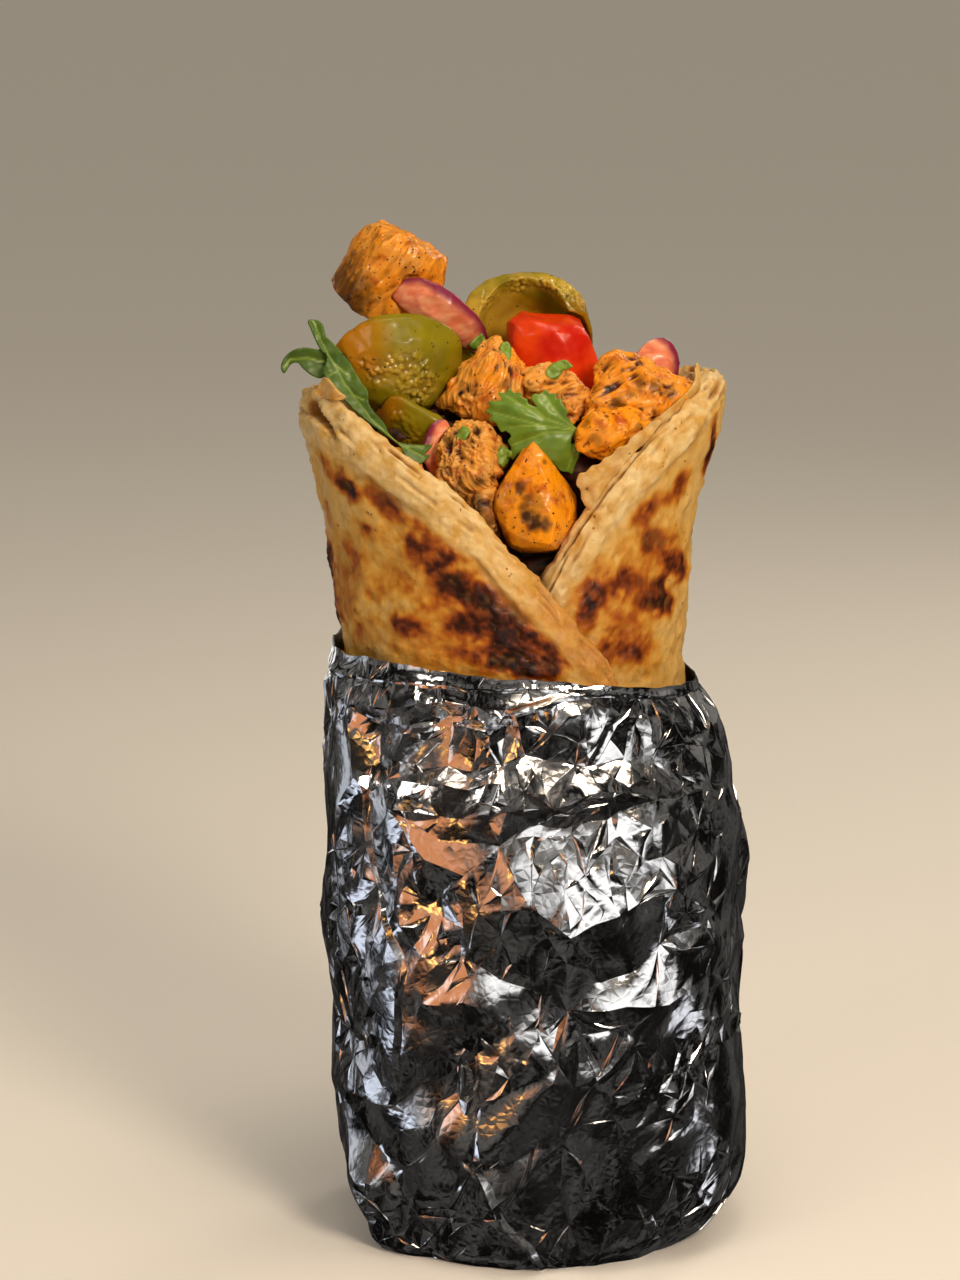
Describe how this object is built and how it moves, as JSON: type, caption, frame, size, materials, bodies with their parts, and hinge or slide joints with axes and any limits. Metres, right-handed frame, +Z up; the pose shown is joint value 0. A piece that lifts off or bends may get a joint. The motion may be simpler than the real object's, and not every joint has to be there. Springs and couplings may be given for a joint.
{
  "type": "kati roll",
  "caption": "Kati roll standing in crumpled foil: a flaky rolled paratha with a V-shaped front opening, heaped with spiced chicken, peppers, tomato, onion and coriander.",
  "frame": {"origin": "middle of the foil's flat base, on the ground", "axes": "+Z up along the roll towards its open end, -Y to the front where the flaps cross, +X to the right seen from the front"},
  "size_m": [0.0752, 0.0619, 0.1637],
  "materials": {
    "foil": "crumpled bright household foil",
    "paratha": "pan-fried flaky bread, golden with dark toasted patches",
    "filling": "dark saucy packed filling",
    "chicken": "spiced grilled chicken, orange with char spots",
    "pepper": "cooked green bell pepper, wet and glossy",
    "tomato": "soft glossy tomato",
    "onion": "red onion, pale pink with a purple skin side",
    "leaf": "fresh coriander leaf"
  },
  "bodies": {
    "root": {"foil_wrap": "foil", "paratha": "paratha", "filling_core": "filling", "leaf_main": "leaf", "leaf_left": "leaf", "leaf_curl": "leaf", "chicken_front": "chicken", "chicken_left": "chicken", "chicken_low": "chicken", "chicken_right_top": "chicken", "chicken_right_low": "chicken", "chicken_centre_left": "chicken", "chicken_centre_right": "chicken", "chicken_back": "chicken", "chicken_side": "chicken", "chicken_rear_left": "chicken", "chicken_rear_right": "chicken", "pepper_left": "pepper", "pepper_low": "pepper", "pepper_back": "pepper", "tomato": "tomato", "onion_top": "onion", "onion_right": "onion", "onion_low": "onion", "onion_rear": "onion"}
  },
  "joints": []
}
